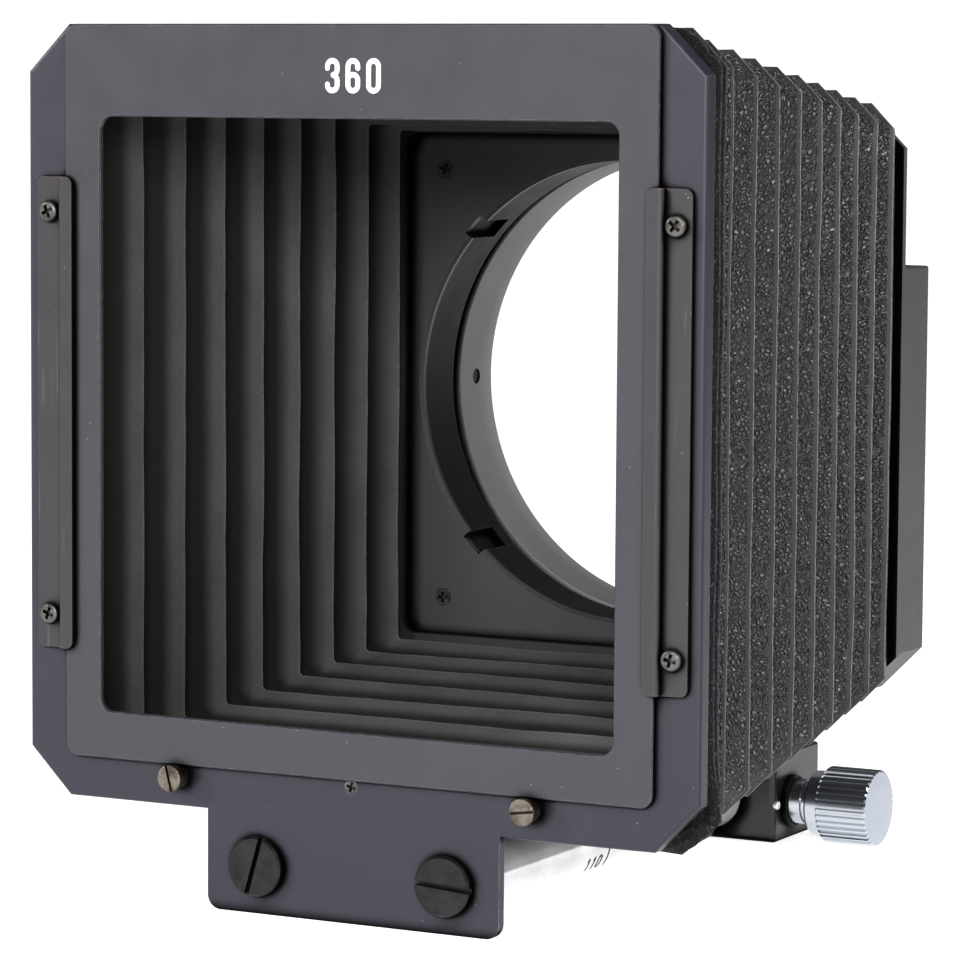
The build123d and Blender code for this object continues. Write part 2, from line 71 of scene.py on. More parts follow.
CLOTH_SEED = 1                     # of the cloth's wander, which is otherwise drawn from the clock
noise.seed_set(CLOTH_SEED)

# The looks of a bellows lens hood. Every size is in metres in the row frame: the front faces -Y, the
# lens axis is X = Z = 0, and the origin is the lens bore's rear mouth. FRONT is the plate's face.
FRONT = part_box("front_plate")[0].y
REAR_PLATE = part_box("rear_plate")[0].y
COVER_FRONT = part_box("bellows_cover")[0].y
LINING_FRONT, LINING_REAR = (corner.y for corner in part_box("bellows_lining"))


# ---- shader helpers -----------------------------------------------------------------------
class Shader:
    """A material under construction: short calls for the nodes that the materials share."""

    def __init__(self, name, **sockets):
        self.material = bpy.data.materials.new(name)
        self.material.use_nodes = True
        self.tree = self.material.node_tree
        self.bsdf = self.tree.nodes["Principled BSDF"]
        for socket, value in sockets.items():
            self.bsdf.inputs[socket.replace("_", " ")].default_value = value

    def node(self, kind, inputs=None, **settings):
        made = self.tree.nodes.new("ShaderNode" + kind)
        for key, value in settings.items():
            setattr(made, key, value)
        for key, value in (inputs or {}).items():
            socket = made.inputs[key]
            if hasattr(value, "is_output"):
                self.tree.links.new(value, socket)
            else:
                socket.default_value = value
        return made

    def math(self, operation, a, b=0.0):
        return self.node("Math", {0: a, 1: b}, operation=operation).outputs[0]

    def coords(self, which="Object"):
        return self.node("TexCoord").outputs[which]

    def scaled(self, vector, scale):
        return self.node("Mapping", {"Vector": vector, "Scale": scale}).outputs[0]

    def axis(self, vector, index):
        return self.node("SeparateXYZ", {0: vector}).outputs[index]

    def attribute(self, name):
        return self.node("Attribute", attribute_name=name).outputs["Fac"]

    def noise(self, vector, scale, detail=2.0, rough=0.5):
        inputs = {"Vector": vector, "Scale": scale, "Detail": detail, "Roughness": rough}
        return self.node("TexNoise", inputs).outputs["Fac"]

    def cells(self, vector, scale, feature="F1"):
        made = self.node("TexVoronoi", {"Vector": vector, "Scale": scale}, feature=feature)
        return made.outputs["Distance"]

    def ramp(self, value, low, high, to_low=0.0, to_high=1.0):
        made = self.node("MapRange", {"Value": value, "From Min": low, "From Max": high,
                                      "To Min": to_low, "To Max": to_high})
        made.interpolation_type = "SMOOTHSTEP"
        return made.outputs[0]

    def mix(self, factor, a, b):
        made = self.node("Mix", data_type="RGBA")
        for index, value in ((0, factor), (6, a), (7, b)):
            if hasattr(value, "is_output"):
                self.tree.links.new(value, made.inputs[index])
            else:
                made.inputs[index].default_value = value
        return made.outputs[2]

    def set(self, socket, value):
        self.tree.links.new(value, self.bsdf.inputs[socket])

    def bump(self, height, strength, distance):
        return self.node("Bump", {"Height": height, "Strength": strength, "Distance": distance}).outputs[0]

    def occlusion_shade(self, reach=3.0 * MM):
        """Painted shade: 1 in corners and recesses that ambient occlusion finds shut in, 0 in the open."""
        hidden = self.node("AmbientOcclusion", {"Distance": reach}, samples=8).outputs["AO"]
        return self.ramp(hidden, 0.5, 0.92, 1.0, 0.0)

    def shaded_side(self):
        """Painted shadow: 1 on a front face just right of a raised part, where a lamp at the left and front
        would cast it.
        """
        aslant = self.node("CombineXYZ", {0: -0.72, 1: -0.66, 2: 0.2}).outputs[0]
        reach = {"Distance": 4.0 * MM, "Normal": aslant}
        hidden = self.node("AmbientOcclusion", reach, samples=8).outputs["AO"]
        near = self.ramp(hidden, 0.42, 0.68, 1.0, 0.0)
        facing = self.axis(self.coords("Normal"), 1)
        return self.math("MULTIPLY", near, self.ramp(facing, -0.95, -0.8, 1.0, 0.0))

    def edge_mask(self, width):
        """1 along sharp outer edges, 0 on flat faces, from the bevelled and the true normal."""
        soft = self.node("Bevel", {"Radius": width}, samples=6).outputs[0]
        true = self.node("NewGeometry").outputs["Normal"]
        same = self.node("VectorMath", {0: soft, 1: true}, operation="DOT_PRODUCT").outputs["Value"]
        return self.ramp(self.math("SUBTRACT", 1.0, same), 0.02, 0.18)


def grey(level, warm=0.0):
    """A neutral linear colour, with warm above 0 towards brown and below 0 towards blue."""
    return (level * (1 + warm), level, level * (1 - warm), 1.0)


def violet(level):
    """The slightly purple black of the leathercloth."""
    return (level * 1.08, level * 0.97, level * 1.1, 1.0)


def times(colour, factor):
    """The same colour, darker or lighter."""
    return tuple(c * factor for c in colour[:3]) + (1,)


def painted_metal(name, base, rough, speck=0.0, wear=None, wear_width=0.0, streaks=0.0, gloss=0.5, bend=0.0):
    """Satin paint or anodising: slow cloudiness, a fine orange-peel, dust specks, worn edges, and painted
    shade in corners, in recesses and just right of raised parts.

    With bend given, the wear keeps to the folds of a strip at that distance on each side of X = 0.
    """
    s = Shader(name, Roughness=rough, Specular_IOR_Level=gloss)
    where = s.coords()
    cloud = s.noise(where, 38.0, 4.0, 0.6)
    colour = s.mix(s.ramp(cloud, 0.3, 0.7), times(base, 0.94), times(base, 1.06))
    roughness = s.ramp(s.noise(where, 120.0, 3.0), 0.25, 0.75, rough * 0.94, rough * 1.06)
    if speck:
        dots = s.ramp(s.cells(where, 420.0), 0.0, 0.085, 1.0, 0.0)
        rare = s.ramp(s.noise(where, 260.0, 1.0), 0.58, 0.64)
        dust = s.math("MULTIPLY", s.math("MULTIPLY", dots, rare), speck)
        colour = s.mix(dust, colour, grey(0.42, 0.03))
    if streaks:
        fine = s.noise(s.scaled(where, (1.0, 1.0, 0.05)), 1500.0, 2.0)
        colour = s.mix(s.ramp(fine, 0.62, 0.8, 0.0, streaks), colour, grey(0.3))
    if wear:
        broken = s.ramp(s.noise(where, 700.0, 4.0, 0.7), 0.34, 0.62)
        edge = s.math("MULTIPLY", s.edge_mask(wear_width), broken)
        if bend:
            across = s.math("ABSOLUTE", s.axis(where, 0))
            aside = s.math("ABSOLUTE", s.math("SUBTRACT", across, bend))
            edge = s.math("MULTIPLY", edge, s.ramp(aside, 0.6 * MM, 1.2 * MM, 1.0, 0.2))
        colour = s.mix(edge, colour, wear)
        roughness = s.mix(edge, roughness, grey(0.32))
    # Painted shade: darker, rougher and without sheen in corners and recesses and just right of raised parts.
    painted_shade = s.math("MAXIMUM", s.occlusion_shade(), s.shaded_side())
    s.set("Base Color", s.mix(painted_shade, colour, grey(0.002)))
    s.set("Roughness", s.mix(painted_shade, roughness, grey(0.85)))
    s.set("Metallic", painted_shade)           # painted shade: a dark base that counts as metal has no sheen, so the shaded places are dull
    peel = s.noise(where, 2600.0)
    s.set("Normal", s.bump(peel, 0.12, 0.06 * MM))
    return s.material


def bright_metal(name, base, rough, scratch=0.25, tint=None, metal=1.0):
    """Bare or plated metal: fine scratches in the roughness, a patina where tint is given, and painted shade
    in recesses.
    """
    s = Shader(name, Metallic=metal)
    where = s.coords()
    fine = s.noise(s.scaled(where, (1.0, 0.25, 1.0)), 2400.0, 4.0, 0.65)
    s.set("Roughness", s.ramp(fine, 0.25, 0.75, rough * (1 - scratch), rough * (1 + scratch)))
    colour = s.mix(s.ramp(s.noise(where, 160.0, 3.0), 0.35, 0.65), base, times(base, 0.88))
    if tint:
        patina = s.ramp(s.noise(where, 300.0, 5.0, 0.7), 0.4, 0.68)
        colour = s.mix(patina, colour, tint)
    # Painted shade: darker in recesses, such as the screws' slots.
    s.set("Base Color", s.mix(s.occlusion_shade(0.8 * MM), colour, grey(0.01)))
    s.set("Normal", s.bump(fine, 0.05, 0.03 * MM))
    return s.material


def turned_knob():
    """Chromed knob: bright flutes and a satin end face with the fine rings of the lathe."""
    s = Shader("knob_chrome", Metallic=1.0)
    where = s.coords()
    end = s.ramp(s.math("ABSOLUTE", s.axis(s.coords("Normal"), 0)), 0.93, 0.99)
    low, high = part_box("clamp_knob")
    centre = tuple((low + high) / 2)
    offset = s.node("VectorMath", {0: where, 1: centre}, operation="SUBTRACT").outputs[0]
    flattened = s.scaled(offset, (0.0, 1.0, 1.0))
    radial = s.node("VectorMath", {0: flattened}, operation="LENGTH").outputs["Value"]
    turning = {"W": radial, "Scale": 5200.0, "Detail": 2.0}
    rings = s.node("TexNoise", turning, noise_dimensions="1D").outputs["Fac"]
    s.set("Base Color", s.mix(end, (0.58, 0.61, 0.66, 1), (0.45, 0.49, 0.56, 1)))
    s.set("Roughness", s.mix(end, grey(0.22), grey(0.36)))
    s.set("Normal", s.bump(s.math("MULTIPLY", rings, end), 0.15, 0.03 * MM))
    return s.material


def leathercloth():
    """Grained black covering; the grain is pressed smooth along each fold and worn on its ridge. Painted
    light too: bright pebble tops for glints, a highlight on each ridge, and shade on the fold bands, in
    corners and round the wrap.
    """
    s = Shader("leathercloth", Specular_IOR_Level=0.5)
    flat_where = s.coords("UV")
    outward = s.attribute("outward")
    fold = s.ramp(outward, 1 - FOLD_BAND - 0.02, 1 - FOLD_BAND + 0.02)
    wander = s.node("TexNoise", {"Vector": flat_where, "Scale": 700.0, "Detail": 1.0}).outputs["Color"]
    where = s.node("VectorMath", {0: wander, 1: (0.0011, 0.0011, 0.0), 2: flat_where},
                   operation="MULTIPLY_ADD").outputs[0]
    aslant = {"Vector": where, "Rotation": (0, 0, 0.35), "Scale": (1.0, 0.62, 1.0)}
    where = s.node("Mapping", aslant).outputs[0]
    pebble = s.ramp(s.cells(where, LEATHER_CELLS, "DISTANCE_TO_EDGE"), 0.0, 0.36)
    uneven = s.ramp(s.noise(flat_where, 420.0, 2.0, 0.6), 0.3, 0.7, 0.5, 1.0)
    grain = s.math("MULTIPLY", s.math("MULTIPLY", pebble, uneven), s.ramp(fold, 0.0, 1.0, 1.0, 0.06))
    # The grain's tone is partly its own and partly painted light: bright pebble tops stand for glints, dark
    # valleys for shade.
    colour = s.mix(s.math("POWER", grain, 2.0), violet(0.0035), violet(0.16))
    slow = s.noise(flat_where, 60.0, 3.0)
    colour = s.mix(s.ramp(slow, 0.35, 0.7, 0.0, 0.3), colour, (0.024, 0.016, 0.018, 1))
    # Along each fold the grain is pressed smooth, and that band is painted darker as shade on its flat face.
    colour = s.mix(s.math("MULTIPLY", fold, 0.9), colour, violet(0.006))
    # Painted shade: darker in corners and round the wrap where the cloth tucks under the plate.
    corner_shade = s.math("MULTIPLY", s.occlusion_shade(), 0.55)
    painted_shade = s.math("MAXIMUM", s.attribute("wrap_shade"), corner_shade)
    colour = s.mix(s.math("MULTIPLY", painted_shade, 0.9), colour, grey(0.002))
    # Each ridge is worn lighter, and this also paints a highlight along it.
    patchy = s.ramp(s.noise(flat_where, 900.0, 3.0), 0.3, 0.6, 0.3, 1.0)
    worn = s.math("MULTIPLY", s.attribute("ridge"), patchy)
    s.set("Base Color", s.mix(worn, colour, violet(0.22)))
    gloss = s.mix(fold, s.ramp(s.noise(where, 500.0, 1.0), 0.3, 0.7, 0.24, 0.36), grey(0.5))
    # Painted shade is rougher and, as a dark metal base, has no sheen.
    s.set("Roughness", s.mix(painted_shade, gloss, grey(0.9)))
    s.set("Metallic", painted_shade)
    s.set("Normal", s.bump(grain, 1.0, 0.5 * MM))
    return s.material


def twill():
    """Black lining cloth: crossing threads, a nap and dust in the weave; painted light too: shade in the
    folds and at the floor's far end, a floor lighter than the walls, and a highlight on the creases.
    """
    s = Shader("lining_twill", Roughness=0.95, IOR=1.3)
    s.bsdf.inputs["Sheen Weight"].default_value = 0.05
    s.bsdf.inputs["Sheen Roughness"].default_value = 0.35
    where = s.coords("UV")
    split = s.node("SeparateXYZ", {0: where}).outputs
    turns = 2 * math.pi / THREAD
    u = s.math("MULTIPLY", split[0], turns)
    v = s.math("MULTIPLY", split[1], turns)
    warp = s.math("SINE", s.math("ADD", u, s.math("MULTIPLY", v, 0.5)))
    weft = s.math("SINE", s.math("SUBTRACT", v, s.math("MULTIPLY", u, 0.5)))
    weave = s.ramp(s.math("MULTIPLY", warp, weft), -0.8, 0.8)
    fuzz = s.noise(where, 2800.0, 3.0, 0.7)
    slow = s.noise(where, 45.0, 4.0, 0.6)
    streak = s.noise(s.scaled(where, (0.12, 1.0, 1.0)), 420.0, 3.0, 0.6)
    # Painted light: the cloth is given a lighter, more contrasting tone where it faces up, as on a lit floor,
    # and a darker one on the shaded walls.
    flat = s.ramp(s.axis(s.coords("Normal"), 2), 0.5, 0.8)
    shaded_walls = s.mix(weave, grey(0.056), grey(0.074))
    lit_floor = s.mix(weave, grey(0.022), grey(0.125))
    colour = s.mix(flat, shaded_walls, lit_floor)
    colour = s.mix(s.ramp(slow, 0.3, 0.75, 0.0, 0.55), colour, grey(0.04, 0.08))
    colour = s.mix(s.ramp(streak, 0.5, 0.8, 0.0, 0.35), colour, grey(0.07, 0.06))
    dust = s.ramp(s.cells(where, 650.0), 0.0, 0.07, 0.5, 0.0)
    colour = s.mix(dust, colour, grey(0.16, 0.1))
    outward = s.attribute("outward")
    # Painted shade in the lining's folds, away from the creases.
    colour = s.mix(s.ramp(outward, 0.14, 0.42, 0.0, 0.9), colour, grey(0.005, 0.1))
    patchy = s.ramp(s.noise(where, 300.0, 4.0, 0.65), 0.35, 0.7, 0.1, 0.55)
    # Each crease is rubbed lighter, and this also paints a highlight along it.
    rubbed_and_lit = s.math("MULTIPLY", s.ramp(outward, 0.0, 0.05, 1.0, 0.0), patchy)
    colour = s.mix(rubbed_and_lit, colour, grey(0.12, 0.04))
    # Painted shade on the floor, darker towards the rear plate.
    along = s.axis(s.coords(), 1)
    far_in_shade = s.math("MULTIPLY", flat, s.ramp(along, FRONT + 30.0 * MM, REAR_PLATE, 0.0, 0.6))
    s.set("Base Color", s.mix(far_in_shade, colour, grey(0.004, 0.1)))
    relief = s.math("ADD", weave, s.math("MULTIPLY", fuzz, 0.8))
    s.set("Normal", s.bump(relief, 0.6, 0.08 * MM))
    return s.material


def printed(name, level):
    """Printing ink, a little worn in patches."""
    s = Shader(name, Roughness=0.55)
    worn = s.ramp(s.noise(s.coords(), 2600.0, 4.0, 0.7), 0.6, 0.8, 0.0, 0.3)
    s.set("Base Color", s.mix(worn, grey(level), grey(level * 0.6 + 0.02)))
    return s.material


# ---- the bellows --------------------------------------------------------------------------
PLEATS = 9
WRAP_BACK = FRONT + 10.7 * MM      # the first crease, behind the part wrapped round the front frame
FIRST_FOLD = 14.0                  # depth of the first fold behind the plate's face, in mm
FOLD_PITCH = 12.35                 # between folds, in mm, before the loss towards the rear
PITCH_LOSS = 0.135                 # in mm, times the square of the fold's number
HALF_WIDTH = 67.0 * MM             # of the folds, were they carried on to the plate's face
HALF_HEIGHT = 69.8 * MM
WIDTH_TAPER = 0.085                # lost by a half width for each metre of depth
HEIGHT_TAPER = 0.122
SIDE_DEPTH = 7.7 * MM              # of a pleat on the side walls, at the first fold
SIDE_DEPTH_GAIN = 0.045            # how much deeper it gets per metre towards the rear
TOP_DEPTH = 5.1 * MM
FOLD_CUT = 4.7 * MM                # the folds' corners are cut, the creases' corners nearly square
CREASE_CUT = 1.2 * MM
WRAP_CREASE = (60.8 * MM, 65.6 * MM, 2.4 * MM)        # half width, half height and corner cut
REAR_CUT = 6.0 * MM                # corner cut where the cover ends at the rear plate
COVER_SKIN = 0.45 * MM
LINING_INSET = 1.25 * MM
LINING_SKIN = 0.35 * MM
SIDE_STEPS = 26                    # points along each straight wall
CORNER_STEPS = 6                   # points across each cut corner
GIRTH = 0.53                       # once round the bellows, as the grain and the weave count it
FOLD_BAND = 0.085                  # part of a flank, next to the fold, where the grain is pressed flat
FLANK_STEPS = (0.12, 0.4, 0.7, 0.88, 0.93, 0.98)      # stations from a crease to a fold
# The cloth round the front frame, in mm: depth behind the plate's face, half width, half height, corner
# cut, how far outward it stands in its own small fold (a share of 1), and how worn the ridge is, which also
# paints a highlight on it.
WRAP = (
    (4.2, 65.9, 69.0, 6.6, 0.3, 0.0),
    (5.2, 66.3, 69.4, 6.6, 0.3, 0.0),
    (6.0, 66.9, 69.9, 6.5, 0.6, 0.0),
    (6.4, 67.1, 70.05, 6.5, 1.0, 0.3),
    (6.9, 66.3, 69.4, 6.5, 0.4, 0.0),
    (7.7, 66.2, 69.3, 6.4, 0.0, 0.0),
    (8.3, 66.6, 69.6, 6.4, 0.5, 0.0),
    (8.7, 66.95, 69.85, 6.4, 1.0, 0.4),
    (9.2, 66.0, 69.0, 6.3, 0.2, 0.0),
    (10.0, 62.9, 66.9, 3.8, 0.0, 0.0),
)


def peak_y(k):
    return FRONT + (FIRST_FOLD + FOLD_PITCH * k - PITCH_LOSS * k * k) * MM


def half_width(y):
    return HALF_WIDTH - WIDTH_TAPER * (y - FRONT)


def half_height(y):
    return HALF_HEIGHT - HEIGHT_TAPER * (y - FRONT)


def creases():
    """Where the bellows bends inwards, from the wrap's crease to the one before the last pleat."""
    return [WRAP_BACK] + [(peak_y(k) + peak_y(k + 1)) / 2 for k in range(PLEATS - 1)]


def outline_stations():
    """(y, half width, half height, corner cut, outward, ridge) down the outside of the bellows."""
    out = [(COVER_FRONT, 65.75 * MM, 68.9 * MM, 6.8 * MM, 0.5, 0.0)]
    for y, half_w, half_h, cut, outward, ridge in WRAP:
        out.append((FRONT + y * MM, half_w * MM, half_h * MM, cut * MM, outward, ridge))
    end_width = half_width(REAR_PLATE) - 1.4 * MM
    end_height = half_height(REAR_PLATE) - 1.0 * MM
    last = (REAR_PLATE - 0.1 * MM, end_width, end_height, REAR_CUT)
    here = (WRAP_BACK, *WRAP_CREASE)
    for k in range(PLEATS):
        y = peak_y(k)
        peak = (y, half_width(y), half_height(y), FOLD_CUT)
        if k < PLEATS - 1:
            mid = (y + peak_y(k + 1)) / 2
            side_depth = SIDE_DEPTH + SIDE_DEPTH_GAIN * (mid - peak_y(0))
            there = (mid, half_width(mid) - side_depth, half_height(mid) - TOP_DEPTH, CREASE_CUT)
        else:
            there = last
        out.append((*here, 0.0, 0.0))
        out += [flank(here, peak, t) for t in FLANK_STEPS]
        out.append((*peak, 1.0, 1.0))
        out += [flank(there, peak, t) for t in reversed(FLANK_STEPS)]
        here = there
    out.append((*last, 0.3, 0.0))
    return out


def flank(crease, peak, t):
    """A station t of the way from a crease to a fold: t says how far outward it stands."""
    point = [c + (p - c) * t for c, p in zip(crease, peak)]
    belly = math.sin(math.pi * t) * 0.16 * MM
    point[1] += belly
    point[2] += belly
    return (*point, t, 0.0)


def loop_points(y, half_w, half_h, cut):
    """The closed outline at y: four walls with cut corners, starting under the middle of the floor."""
    right = [(half_w - cut, -half_h), (half_w, -half_h + cut), (half_w, half_h - cut), (half_w - cut, half_h)]
    left = [(-x, z) for x, z in reversed(right)]
    corners = right + left
    path = [((0.0, -half_h), corners[0], SIDE_STEPS // 2)]
    for i in range(7):
        steps = CORNER_STEPS if i % 2 == 0 else SIDE_STEPS
        path.append((corners[i], corners[i + 1], steps))
    path.append((corners[7], (0.0, -half_h), SIDE_STEPS // 2))
    out = []
    for (x0, z0), (x1, z1), steps in path:
        for i in range(steps):
            t = i / steps
            out.append((x0 + (x1 - x0) * t, z0 + (z1 - z0) * t))
    return [Vector((x, y, z)) for x, z in out]


def handmade(point):
    """Small wanders of the cloth, the same for every piece that meets at a point."""
    wave = noise.noise_vector(Vector((point.x * 38, point.y * 90, point.z * 38)))
    fine = noise.noise_vector(Vector((point.x * 160, point.y * 220, point.z * 160)) + Vector((7, 3, 5)))
    return point + (wave * 0.30 + fine * 0.12) * MM + loose_corner(point)


def wrap_shade(point):
    """Painted shade: darker where the cloth tucks under the plate, in the wrap's small crease and its deep
    crease, and over all of the wrap.
    """
    deep = (point.y - FRONT) / MM
    tucked = max(0.0, min(1.0, (6.3 - deep) / 1.5)) * 0.85
    small_crease = 0.95 - abs(deep - 7.5)
    wrap_crease = 1.0 - abs(deep - 10.5) / 2.2
    all_over = 0.66 if deep < 9.5 else 0.0
    return max(tucked, small_crease, wrap_crease, all_over)


def loose_corner(point):
    """The cloth is puckered round the front frame's corners, and has come away at the lower right one."""
    behind = point.y - FRONT
    corner = min(1.0, max(0.0, (abs(point.x) + abs(point.z) - 127.0 * MM) / (3.0 * MM)))
    on_wrap = max(0.0, min(1.0, (9.5 - behind / MM) / 2.0))
    crumple = noise.noise(point * 420.0) * corner * on_wrap * 0.5 * MM
    crumpled = Vector((math.copysign(1, point.x), 0.0, math.copysign(1, point.z))) * crumple
    away = (Vector((point.x, point.z)) - Vector((66.0 * MM, -64.5 * MM))).length
    near = math.exp(-(away / (7.5 * MM)) ** 2)
    deep = math.exp(-((behind - 6.0 * MM) / (3.2 * MM)) ** 2)
    pucker = 0.75 + 0.45 * math.sin((point.x + point.z) * 900.0) * math.sin(behind * 1500.0)
    return crumpled + Vector((2.6, 0.0, -1.0)) * (near * deep * pucker * MM)


def fold_with_slide(piece):
    """Bakes the piece's placement into its mesh."""
    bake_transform(piece)


def cloth_rings(stations, inset, skin):
    """Points, marks (outward, ridge), UVs and points in a ring: the outer face's rings, then the inner's."""
    travels = [0.0]
    for before, station in zip(stations, stations[1:]):
        travels.append(travels[-1] + math.hypot(station[0] - before[0], station[1] - before[1]))
    verts, marks, uvs = [], [], []
    for depth in (inset, inset + skin):
        for (y, half_w, half_h, cut, outward, ridge), along in zip(stations, travels):
            outline = loop_points(y, half_w - depth, half_h - depth, cut - depth * 0.4)
            loop = [handmade(p) for p in outline]
            count = len(loop)
            verts += loop
            marks += [(outward, ridge)] * count
            steps = [(loop[(i + 1) % count] - loop[i]).length for i in range(count)]
            stretch = GIRTH / sum(steps)
            around = 0.0
            for step in steps:
                uvs.append((around * stretch, along + y))
                around += step
    return verts, marks, uvs, count


def cloth_faces(rows, count):
    """Quads for an outer and an inner face of so many rings, and for the two cut ends."""
    def quad(here, there, i):
        after = (i + 1) % count
        return [here * count + i, here * count + after, there * count + after, there * count + i]

    faces = []
    for side in (0, 1):
        for row in range(side * rows, side * rows + rows - 1):
            for i in range(count):
                corners = quad(row, row + 1, i)
                faces.append(corners if side else corners[::-1])
    for row in (0, rows - 1):
        for i in range(count):
            corners = quad(row, row + rows, i)
            faces.append(corners if row == 0 else corners[::-1])
    return faces


def mark_mesh(mesh, verts, marks, uvs, count):
    """Stores what the cloth's materials read: how far outward, how worn the ridge is (which also paints a
    highlight), how much painted shade, and the UVs.
    """
    outward, ridge = zip(*marks)
    columns = {"outward": outward, "ridge": ridge, "wrap_shade": [wrap_shade(v) for v in verts]}
    for name, column in columns.items():
        mesh.attributes.new(name, "FLOAT", "POINT").data.foreach_set("value", column)
    layer = mesh.uv_layers.new(name="UVMap")
    for polygon in mesh.polygons:
        places = [mesh.loops[i].vertex_index for i in polygon.loop_indices]
        closes_loop = any(p % count == 0 for p in places) and any(p % count > count // 2 for p in places)
        for i, index in zip(polygon.loop_indices, places):
            u, v = uvs[index]
            if closes_loop and index % count == 0:
                u = GIRTH
            layer.data[i].uv = (u, v)


def tube_piece(name, stations, inset, skin, material):
    """A closed band of cloth through the stations: an outer face, an inner face and two cut ends."""
    verts, marks, uvs, count = cloth_rings(stations, inset, skin)
    mesh = bpy.data.meshes.new(name)
    mesh.from_pydata([tuple(v) for v in verts], [], cloth_faces(len(stations), count))
    mark_mesh(mesh, verts, marks, uvs, count)
    mesh.polygons.foreach_set("use_smooth", [True] * len(mesh.polygons))
    mesh.set_sharp_from_angle(angle=math.radians(38))
    mesh.materials.append(material)
    piece = bpy.data.objects.new(name, mesh)
    bpy.context.scene.collection.objects.link(piece)
    return piece


def make_cloth(node, stations, cuts, inset, skin, material):
    """The cloth in place of a node, cut at the given depths into bands."""
    bounds = [stations[0][0]] + cuts + [stations[-1][0]]
    made = []
    for number, (y1, y2) in enumerate(zip(bounds, bounds[1:]), 1):
        band = [s for s in stations if y1 - 1e-7 <= s[0] <= y2 + 1e-7]
        if len(band) < 2:
            continue
        piece = tube_piece(f"{node}_{number:02d}", band, inset, skin, material)
        fold_with_slide(piece)
        made.append(piece)
    return made


def make_bellows(cover, lining):
    stations = outline_stations()
    outer = make_cloth("bellows_cover", stations, creases()[1:], 0.0, COVER_SKIN, cover)
    for piece in outer:
        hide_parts("bellows_cover")
    stations = [s for s in stations if LINING_FRONT < s[0] < LINING_REAR]
    folds = [peak_y(k) for k in range(PLEATS)]
    inner = make_cloth("bellows_lining", stations, folds, LINING_INSET, LINING_SKIN, lining)
    for piece in inner:
        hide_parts("bellows_lining")


# ---- printed figures ----------------------------------------------------------------------
def arc(x, z, radius, start, end, steps=12):
    angles = [math.radians(start + (end - start) * i / steps) for i in range(steps + 1)]
    return [(x + radius * math.cos(a), z + radius * math.sin(a)) for a in angles]


def figure_strokes(figure, width, height):
    """The centre lines of a narrow round-ended figure, about its own middle, and which ones close."""
    r = width / 2
    top = height / 2 - r
    if figure == "0":
        return [(arc(0, top, r, 0, 180) + arc(0, -top, r, 180, 360), True)]
    if figure == "1":
        return [([(-r * 0.6, height / 2 - r * 0.7), (0.1 * r, height / 2), (0.1 * r, -height / 2)], False)]
    if figure == "6":
        bowl = -0.15 * height
        stem = [(r, top - 0.3 * r)] + arc(0, top, r, 0, 180) + arc(0, -top, r, 180, 270)
        return [(stem, False), (arc(0, -top, r, 270, 360) + arc(0, bowl, r, 0, 160), False)]
    middle = 0.02 * height
    upper = [(-r, top - 0.3 * r)] + arc(0, top, r, 180, 0) + arc(0, middle + r * 1.02, r, 0, -80)
    lower = arc(0, middle - r * 0.98, r, 80, 0) + arc(0, -top, r, 0, -180) + [(-r, -top + 0.1 * r)]
    return [(upper, False), (lower, False)]


def stroke_sections(points, closed, half):
    """(middle, sideways, half width) down a stroke, narrowing to nothing round an open end."""
    line = [Vector(p) for p in points]
    if closed:
        line.append(line[0].copy())
    line = [p for i, p in enumerate(line) if i == 0 or (p - line[i - 1]).length > 1e-9]
    fine = [line[0]]
    for a, b in zip(line, line[1:]):
        pieces = max(1, math.ceil((b - a).length / STROKE_STEP))
        fine += [a.lerp(b, i / pieces) for i in range(1, pieces + 1)]
    line = fine
    ways = []
    for i in range(len(line)):
        before = line[i] - line[i - 1] if i else (line[0] - line[-2] if closed else line[1] - line[0])
        after = line[i + 1] - line[i] if i < len(line) - 1 else (line[1] - line[0] if closed else before)
        ways.append((before.normalized() + after.normalized()).normalized())
    sections = [(p, w.orthogonal(), half) for p, w in zip(line, ways)]
    if closed:
        return sections
    for share_of_turn in (0.3, 0.6, 0.85, 0.98):
        reach = half * math.sin(share_of_turn * math.pi / 2)
        narrow = half * math.cos(share_of_turn * math.pi / 2)
        sections.insert(0, (line[0] - ways[0] * reach, ways[0].orthogonal(), narrow))
        sections.append((line[-1] + ways[-1] * reach, ways[-1].orthogonal(), narrow))
    return sections


def print_figures(name, text, width, height, stroke, pitch, place, material, body, extra=()):
    """Thin raised ink: place turns (across, up, depth) into a point in the row frame.

    Strokes that overlap each have their own height, so that no two faces of ink lie in one plane.
    """
    verts, faces = [], []
    jobs = []
    for i, figure in enumerate(text):
        shift = (i - (len(text) - 1) / 2) * pitch
        for points, closed in figure_strokes(figure, width, height):
            jobs.append(([(x + shift, z) for x, z in points], closed))
    jobs += list(extra)
    for layer, (points, closed) in enumerate(jobs):
        start = len(verts)
        sections = stroke_sections(points, closed, stroke / 2)
        ink = INK * (1 + 0.15 * layer)
        for middle, sideways, half in sections:
            for side, depth in ((-1, ink), (1, ink), (1, -ink), (-1, -ink)):
                at = middle + sideways * (side * half)
                verts.append(place(at.x, at.y, depth))
        for row in range(len(sections) - 1):
            for corner in range(4):
                a, b = start + row * 4 + corner, start + row * 4 + (corner + 1) % 4
                faces.append((a, b, b + 4, a + 4))
        if not closed:
            last = start + (len(sections) - 1) * 4
            faces.append((start + 3, start + 2, start + 1, start))
            faces.append((last, last + 1, last + 2, last + 3))
    mesh = bpy.data.meshes.new(name)
    mesh.from_pydata(verts, [], faces)
    joined = bmesh.new()
    joined.from_mesh(mesh)
    bmesh.ops.remove_doubles(joined, verts=joined.verts, dist=1e-7)
    bmesh.ops.recalc_face_normals(joined, faces=joined.faces)
    joined.to_mesh(mesh)
    joined.free()
    mesh.materials.append(material)
    piece = bpy.data.objects.new(name, mesh)
    bpy.context.scene.collection.objects.link(piece)
    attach(piece, body)


